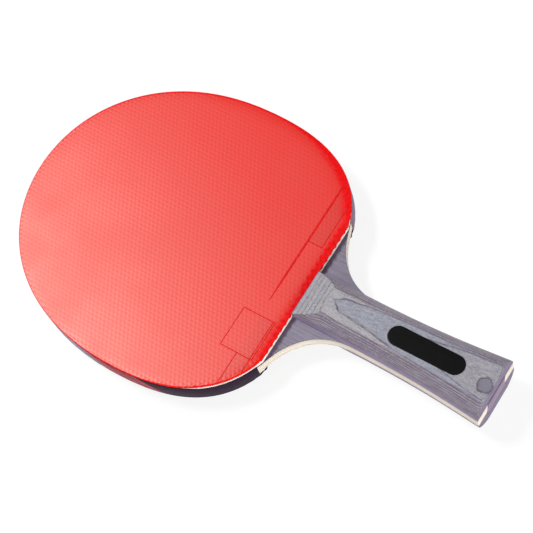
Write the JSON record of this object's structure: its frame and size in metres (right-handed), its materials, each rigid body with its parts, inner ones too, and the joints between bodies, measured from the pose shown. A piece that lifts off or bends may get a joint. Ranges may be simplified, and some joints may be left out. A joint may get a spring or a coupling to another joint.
{
  "type": "table tennis paddle",
  "caption": "Table tennis paddle with a rounded head, red and black pimples-in coverings on sponge, edge tape, and a flared grip of laminated grey veneers.",
  "frame": {"origin": "middle of the paddle's footprint, level with the back of the grip, which is the lowest face", "axes": "+Y along the paddle from the butt to the tip of the head, +Z out of the red side, +X to the right seen from above the red side with the head up"},
  "size_m": [0.1508, 0.2592, 0.0251],
  "materials": {
    "stained_veneer": "grey stained veneer with fine grain along the grip, matt",
    "pale_wood": "pale cream wood, sanded edge, matt",
    "plum_grip_wood": "dyed plum-grey veneer, sanded",
    "blue_grip_wood": "dyed blue-grey veneer, sanded",
    "red_rubber": "smooth sheet over pimples, soft sheen",
    "black_rubber": "smooth sheet over pimples, soft sheen",
    "sponge": "fine-celled cream sponge, matt",
    "edge_tape": "dark plum tape with muted red slanted blocks, satin",
    "badge": "glossy black lens, bare",
    "label": "satin film, bare"
  },
  "bodies": {
    "root": {"rear_outer_veneer": "stained_veneer", "rear_medial_veneer": "pale_wood", "core_ply": "pale_wood", "front_medial_veneer": "pale_wood", "front_outer_veneer": "stained_veneer", "front_sponge": "sponge", "front_topsheet": "red_rubber", "rear_sponge": "sponge", "rear_topsheet": "black_rubber", "edge_tape": "edge_tape", "front_grip_veneer_01": "plum_grip_wood", "rear_grip_veneer_01": "plum_grip_wood", "front_grip_veneer_02": "blue_grip_wood", "rear_grip_veneer_02": "blue_grip_wood", "front_grip_veneer_03": "plum_grip_wood", "rear_grip_veneer_03": "plum_grip_wood", "front_grip_veneer_04": "blue_grip_wood", "rear_grip_veneer_04": "blue_grip_wood", "front_grip_veneer_05": "plum_grip_wood", "rear_grip_veneer_05": "plum_grip_wood", "front_grip_veneer_06": "blue_grip_wood", "rear_grip_veneer_06": "blue_grip_wood", "front_grip_veneer_07": "plum_grip_wood", "rear_grip_veneer_07": "plum_grip_wood", "front_grip_veneer_08": "blue_grip_wood", "rear_grip_veneer_08": "blue_grip_wood", "front_grip_veneer_09": "plum_grip_wood", "rear_grip_veneer_09": "plum_grip_wood", "front_grip_veneer_10": "blue_grip_wood", "rear_grip_veneer_10": "blue_grip_wood", "grip_badge": "badge", "butt_label": "label"}
  },
  "joints": []
}
